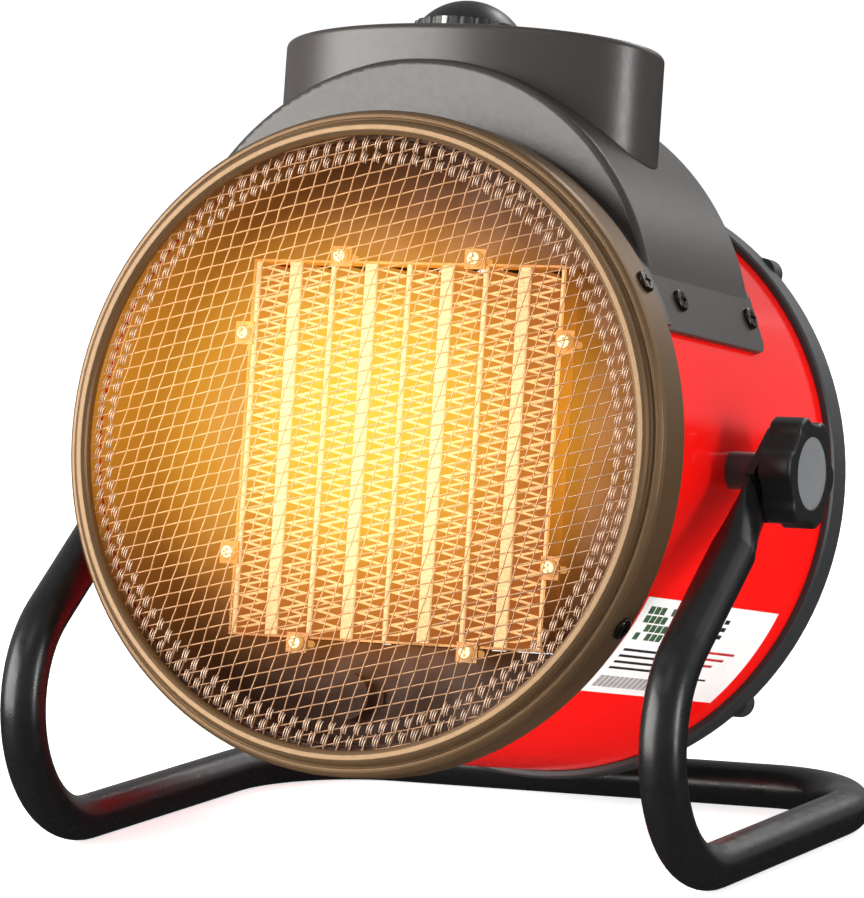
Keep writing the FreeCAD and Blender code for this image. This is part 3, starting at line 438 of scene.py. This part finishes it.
def bezel_paint():
    """Satin brown paint with metal flake, which tints what it reflects."""
    paint = Shader("bezel_satin_brown", (0.150, 0.090, 0.044), 0.36, metallic=0.55, specular=0.4)
    paint.vary_colour(0.04, 12)
    paint.vary_roughness(0.02, 400)
    paint.soft_edges(0.0005)
    paint.bump(0.00005, 1600, 0.4)
    return paint.material


def brushed(name, colour, roughness):
    """Bare metal with fine turning marks across its y."""
    stretch = (1.0, 12.0, 1.0)
    metal = Shader(name, colour, roughness, metallic=1.0)
    metal.vary_colour(0.08, 60)
    metal.vary_roughness(0.08, 500, stretch)
    metal.bump(0.00003, 900, 0.5, stretch=stretch)
    return metal.material


def dark_screw():
    """Black zinc with bright, rubbed edges."""
    screw = Shader("screw_black_zinc", (0.045, 0.036, 0.03), 0.2, metallic=0.9)
    screw.vary_roughness(0.07, 700)
    screw.soft_edges(0.0003)
    screw.wear((0.35, 0.32, 0.3), 0.6)
    return screw.material


def printed_film(name, colour):
    """Satin printed film or ink."""
    film = Shader(name, colour, 0.35)
    film.vary_colour(0.03, 40)
    film.vary_roughness(0.05, 200)
    film.bump(0.00002, 800, 0.3)
    return film.material


def paint_nodes(material, names):
    """Gives CAD nodes a finish."""
    for name in names:
        mesh = nodes[name].data
        mesh.materials.clear()
        mesh.materials.append(material)
        mesh.polygons.foreach_set("material_index", [0] * len(mesh.polygons))


def finish_cad_nodes():
    """Finishes of everything outside the heating element."""
    paint_nodes(powder_coat(), ["stand_tube"])
    paint_nodes(red_enamel(), ["drum_shell"])
    paint_nodes(bezel_paint(), ["front_bezel"])
    paint_nodes(moulded("housing_charcoal", (0.036, 0.031, 0.028), 0.31), ["top_saddle", "control_tower"])
    paint_nodes(moulded("panel_black", (0.020, 0.020, 0.021), 0.45), ["control_panel"])
    paint_nodes(moulded("ring_charcoal", (0.030, 0.032, 0.033), 0.42), ["rear_ring", "rear_guard"])
    paint_nodes(moulded("knob_black", (0.009, 0.009, 0.0095), 0.38, worn=(0.06, 0.06, 0.06)), [
        "knob_right_grip", "knob_left_grip", "selector_knob", "pivot_spacers",
        "knob_right_washer", "knob_left_washer", "cable_gland", "gland_nut"])
    paint_nodes(moulded("knob_cap_grey", (0.16, 0.165, 0.17), 0.42), ["knob_right_cap", "knob_left_cap"])
    paint_nodes(moulded("fan_plastic", (0.03, 0.03, 0.03), 0.45), ["fan_impeller"])
    paint_nodes(moulded("switch_plastic", (0.62, 0.6, 0.55), 0.4), ["rotary_switch", "terminal_block"])
    paint_nodes(printed_film("dial_film", (0.028, 0.028, 0.03)), ["dial_plate"])
    paint_nodes(printed_film("label_film", (0.86, 0.86, 0.84)), ["rating_label"])
    paint_nodes(printed_film("pointer_white", (0.85, 0.85, 0.83)), ["selector_pointer"])
    paint_nodes(dark_screw(), ["bezel_screws", "saddle_screws", "rear_screws"])
    paint_nodes(brushed("zinc_steel", (0.6, 0.6, 0.6), 0.32), [
        "motor_screws", "motor_shaft", "impeller_nut", "switch_nut", "pivot_washers",
        "captive_nuts", "knob_right_stud", "knob_left_stud", "selector_shaft", "motor_rotor"])
    paint_nodes(brushed("sheet_steel", (0.42, 0.4, 0.39), 0.38), ["fan_shroud", "motor_bracket"])
    paint_nodes(brushed("contact_brass", (0.78, 0.58, 0.26), 0.3), ["core_terminals", "motor_bushes"])
    motor = Shader("motor_paint", (0.2, 0.2, 0.21), 0.4)
    motor.vary_colour(0.06, 30).vary_roughness(0.06, 120).bump(0.00008, 500, 0.5)
    paint_nodes(motor.material, ["motor_case"])


def finish_heater_nodes():
    """Finishes of the heating element, with its painted glow, and of the painted light and shade it throws
    on the parts inside the drum.
    """
    paint_nodes(fin_material(), ["core_fins"])
    paint_nodes(bar_material(), ["ceramic_bars", "core_plates"])
    # Dark sheet steel whose base colour also paints the shade inside the drum, with painted light from the
    # element
    paint_nodes(inner_material("liner_painted_glow_and_shade", (0.028, 0.013, 0.008), 0.3),
                ["heat_liner", "air_baffle", "mesh_rim", "thermal_cutout"])
    # Core frame: orange base colour, with painted orange light from the element
    paint_nodes(inner_material("core_frame_painted_glow", (0.36, 0.18, 0.07), 0.6), ["core_frame"])
    # Core screws: painted orange light from the element, weaker further from the glow's centre
    screws = Shader("core_screws_painted_glow", (0.5, 0.36, 0.2), 0.35, metallic=0.8)
    reach = screws.ranged(screws.painted_glow_distance(0.9), 0.05, 0.08, 0.0, 1.0)
    screws.glow(screws.ramp(reach, painted_glow_stops((0.9, 0.5, 0.14), (0.7, 0.34, 0.10))), 0.8)
    paint_nodes(screws.material, ["core_screws"])


# ---- Woven mesh in the front opening -------------------------------------------------

def wire_points(direction, other, offset, row, height):
    """The centre line of one woven wire, in the drum's frame."""
    along = Vector((math.cos(direction), 0, math.sin(direction)))
    normal = Vector((-math.sin(direction), 0, math.cos(direction)))
    other_normal = Vector((-math.sin(other), 0, math.cos(other)))
    half = math.sqrt(MESH_R ** 2 - offset ** 2)
    crossing = MESH_PITCH / abs(along.dot(other_normal))
    steps = max(4, int(2 * half / crossing * 4))
    points = []
    for i in range(steps + 1):
        point = normal * offset + along * (-half + 2 * half * i / steps)
        weave = math.cos(math.pi * (row + point.dot(other_normal) / MESH_PITCH))
        points.append(point + Vector((0, MESH_FRONT + WEAVE_BACK * WIRE_R + height * weave, 0)))
    return points, normal


def woven_mesh(material):
    """Two families of round wires that pass over and under each other."""
    verts = []
    faces = []
    first, second = (math.radians(a) for a in MESH_DIRECTIONS)
    count = int(MESH_R // MESH_PITCH)
    for direction, other, height in ((first, second, WIRE_R), (second, first, -WIRE_R)):
        for row in range(-count, count + 1):
            points, normal = wire_points(direction, other, row * MESH_PITCH, row, height)
            add_tube(verts, faces, points, WIRE_R, normal, Vector((0, 1, 0)))
    mesh = new_piece("front_mesh_woven", in_drum(verts), faces, material, "heater")
    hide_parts("front_mesh")


def mesh_hem(material):
    """The mesh's folded edge: clusters of short wire ends, parallel to the steep wires."""
    verts = []
    faces = []
    lean = math.radians(MESH_DIRECTIONS[1])
    along = Vector((math.cos(lean), 0, math.sin(lean)))
    across = Vector((-math.sin(lean), 0, math.cos(lean)))
    for ring_radius in HEM_ROWS:
        count = int(2 * math.pi * ring_radius / HEM_STEP)
        for i in range(count):
            turn = 2 * math.pi * i / count
            middle = Vector((ring_radius * math.sin(turn), 0, ring_radius * math.cos(turn)))
            for k in (-1, 0, 1):
                centre = middle + across * (k * HEM_GAP) + along * random.uniform(-HEM_JITTER, HEM_JITTER)
                half = HEM_STROKE / 2 * random.uniform(0.7, 1.0)
                points = []
                for t in (-1.0, -0.5, 0.0, 0.5, 1.0):
                    back = MESH_FRONT + WIRE_R - HEM_BOW * (1 - t * t)
                    points.append(centre + along * (half * t) + Vector((0, back, 0)))
                add_tube(verts, faces, points, HEM_WIRE_R, across, Vector((0, 1, 0)), 5)
    hem = new_piece("front_mesh_hem", in_drum(verts), faces, material, "heater")


# ---- Printed label -------------------------------------------------------------------

def label_marks(name, marks, material):
    """Raised print on the label; each mark is (back0, back1, down0, down1) as shares of the label."""
    verts = []
    faces = []
    for back0, back1, down0, down1 in marks:
        first = len(verts)
        for i in range(LABEL_STEPS + 1):
            share = down0 + (down1 - down0) * i / LABEL_STEPS
            turn = math.radians(LABEL_ANGLES[0] + (LABEL_ANGLES[1] - LABEL_ANGLES[0]) * share)
            for back in (back0, back1):
                y = LABEL_BACK[0] + (LABEL_BACK[1] - LABEL_BACK[0]) * back
                verts.append(Vector((LABEL_R * math.sin(turn), y, LABEL_R * math.cos(turn))))
        for i in range(LABEL_STEPS):
            corner = first + 2 * i
            faces.append((corner, corner + 1, corner + 3, corner + 2))
    print_piece = new_piece(name, in_drum(verts), faces, material, "heater")
    thick = print_piece.modifiers.new("thickness", "SOLIDIFY")
    thick.thickness = PRINT_T
    thick.offset = 0


def mark(back, down, wide, tall):
    """One mark, from its corner and its size, as shares of the label."""
    return (back, back + wide, down, down + tall)


def label_print():
    """Generic rules, blocks and bars, with no words."""
    black = [mark(0.50 + 0.045 * col, 0.12 + 0.075 * row, 0.035, 0.04)
             for row in range(3) for col in range(4)]
    for bar in range(34):
        black.append(mark(0.05 + 0.0118 * bar, 0.80, (0.004, 0.007, 0.0025)[bar % 3], 0.13))
    for row in range(4):
        black.append(mark(0.05, 0.50 + 0.065 * row, 0.39 - 0.05 * (row % 2), 0.025))
    for row in range(3):
        black.append(mark(0.55, 0.74 + 0.07 * row, 0.25 - 0.06 * row, 0.018))
    green = [mark(0.05 + 0.042 * col, 0.08 + 0.085 * row, 0.035, 0.07)
             for row in range(4) for col in range(5) if (row * 3 + col * 2) % 5 != 1]
    red = [mark(0.55, 0.44 + 0.07 * row, 0.31 - 0.05 * row, 0.025) for row in range(4)]
    label_marks("label_print_black", black, printed_film("ink_black", (0.02, 0.02, 0.022)))
    label_marks("label_print_green", green, printed_film("ink_dark_green", (0.05, 0.12, 0.05)))
    label_marks("label_print_red", red, printed_film("ink_red", (0.6, 0.03, 0.03)))


# ---- Dial marks round the selector ---------------------------------------------------

def dial_frame():
    """The dial plate's top as a matrix, z along the selector's axis and -y to the front; and its radius."""
    turn = joints["selector_turn"]
    axis = Vector(turn["axis"]).normalized()
    centre = Vector(turn["pos_m"])
    across = Vector((1, 0, 0))
    back = axis.cross(across).normalized()
    top = max((v.co - centre).dot(axis) for v in nodes["dial_plate"].data.vertices)
    radius = max(((v.co - centre) - axis * (v.co - centre).dot(axis)).length
                 for v in nodes["dial_plate"].data.vertices)
    rotation = Matrix((across, back, axis)).transposed().to_4x4()
    return Matrix.Translation(centre + axis * top) @ rotation, radius


def dial_marks(material):
    """Ticks in half a ring round the selector, every sixth one long."""
    place, radius = dial_frame()
    inner = SELECTOR_R + 0.0012
    outer = radius - 0.0006
    verts = []
    faces = []
    for step in range(DIAL_TICKS):
        turn = math.radians(DIAL_FIRST + DIAL_STEP * step)
        long_tick = step % DIAL_LONG_EVERY == 0
        end = outer if long_tick else inner + (outer - inner) * SHORT_TICK_SHARE
        half = LONG_TICK_HALF if long_tick else TICK_HALF
        out = Vector((math.cos(turn), math.sin(turn), 0))
        side = Vector((-out.y, out.x, 0)) * half
        first = len(verts)
        for corner in (out * inner - side, out * end - side, out * end + side, out * inner + side):
            verts.append(place @ corner)
            verts.append(place @ (corner + Vector((0, 0, PRINT_T))))
        ring = [first + 2 * k for k in range(4)]
        faces.append(tuple(reversed(ring)))
        faces.append(tuple(k + 1 for k in ring))
        for k in range(4):
            here, following = ring[k], ring[(k + 1) % 4]
            faces.append((here, following, following + 1, here + 1))
    ticks = new_piece("dial_ticks", verts, faces, material, "heater", smooth=False)


# ---- Room, lights and camera ---------------------------------------------------------

def studio_floor():
    """A wide pale floor that fills the view."""
    corners = [(x * FLOOR_HALF, y * FLOOR_HALF, 0) for x, y in ((-1, -1), (1, -1), (1, 1), (-1, 1))]
    mesh = bpy.data.meshes.new("floor")
    mesh.from_pydata(corners, [], [(0, 1, 2, 3)])
    floor = bpy.data.objects.new("floor", mesh)
    bpy.context.scene.collection.objects.link(floor)
    paper = Shader("floor_paper", (0.9, 0.9, 0.9), 0.6, specular=0.2)
    paper.bump(0.0002, 40, 0.2)
    paper.shader.inputs["Emission Color"].default_value = (1, 1, 1, 1)
    paper.shader.inputs["Emission Strength"].default_value = FLOOR_LIFT
    mesh.materials.append(paper.material)
    floor.visible_glossy = False



def direction(azimuth, elevation):
    """A unit vector from the object; azimuth 0 is the front and 90 its right side."""
    a, e = math.radians(azimuth), math.radians(elevation)
    return Vector((math.sin(a) * math.cos(e), -math.cos(a) * math.cos(e), math.sin(e)))


def studio_lights():
    """The soft boxes, each turned to face the object."""
    target = Vector(CAMERA_TARGET)
    for name, azimuth, elevation, distance, width, height, power, colour in SOFT_BOXES:
        data = bpy.data.lights.new(name, "AREA")
        data.shape = "RECTANGLE"
        data.size = width
        data.size_y = height
        data.energy = power
        data.color = colour
        light = bpy.data.objects.new(name, data)
        out = direction(azimuth, elevation)
        light.location = target + out * distance
        light.rotation_mode = "QUATERNION"
        light.rotation_quaternion = (-out).to_track_quat("-Z", "Y")
        bpy.context.scene.collection.objects.link(light)


def studio_room():
    """A pale room above the horizon and a dark one below, for the reflections."""
    world = bpy.data.worlds.new("room")
    world.use_nodes = True
    tree = world.node_tree
    background = tree.nodes["Background"]
    background.inputs["Strength"].default_value = 1.0
    place = tree.nodes.new("ShaderNodeTexCoord")
    split = tree.nodes.new("ShaderNodeSeparateXYZ")
    ramp = tree.nodes.new("ShaderNodeValToRGB")
    ramp.color_ramp.elements[0].position = ROOM_HORIZON[0]
    ramp.color_ramp.elements[0].color = (ROOM_BELOW, ROOM_BELOW, ROOM_BELOW, 1)
    ramp.color_ramp.elements[1].position = ROOM_HORIZON[1]
    ramp.color_ramp.elements[1].color = (ROOM_ABOVE, ROOM_ABOVE, ROOM_ABOVE, 1)
    shift = tree.nodes.new("ShaderNodeMapRange")
    shift.inputs["From Min"].default_value = -1.0
    tree.links.new(place.outputs["Generated"], split.inputs["Vector"])
    tree.links.new(split.outputs["Z"], shift.inputs["Value"])
    tree.links.new(shift.outputs["Result"], ramp.inputs["Fac"])
    tree.links.new(ramp.outputs["Color"], background.inputs["Color"])
    bpy.context.scene.world = world


def studio_camera():
    """The camera where the object was seen from, with its small roll."""
    back = direction(CAMERA_AZIMUTH, CAMERA_ELEVATION)
    a, roll = math.radians(CAMERA_AZIMUTH), math.radians(CAMERA_ROLL)
    level = Vector((math.cos(a), math.sin(a), 0))
    up = back.cross(level)
    across = level * math.cos(roll) + up * math.sin(roll)
    upright = up * math.cos(roll) - level * math.sin(roll)
    data = bpy.data.cameras.new("camera")
    data.lens = CAMERA_LENS
    data.sensor_width = 36.0
    data.sensor_fit = "AUTO"
    data.clip_end = 100.0
    camera = bpy.data.objects.new("camera", data)
    turned = Matrix((across, upright, back)).transposed().to_4x4()
    camera.matrix_world = Matrix.Translation(Vector(CAMERA_TARGET) + back * CAMERA_DISTANCE) @ turned
    bpy.context.scene.collection.objects.link(camera)
    bpy.context.scene.camera = camera


finish_cad_nodes()
finish_heater_nodes()
woven_mesh(wire_material())
mesh_hem(hem_material())
label_print()
dial_marks(printed_film("dial_marks_white", (0.8, 0.8, 0.78)))
studio_floor()
studio_lights()
studio_room()
studio_camera()
bpy.context.scene.view_settings.view_transform = "Standard"
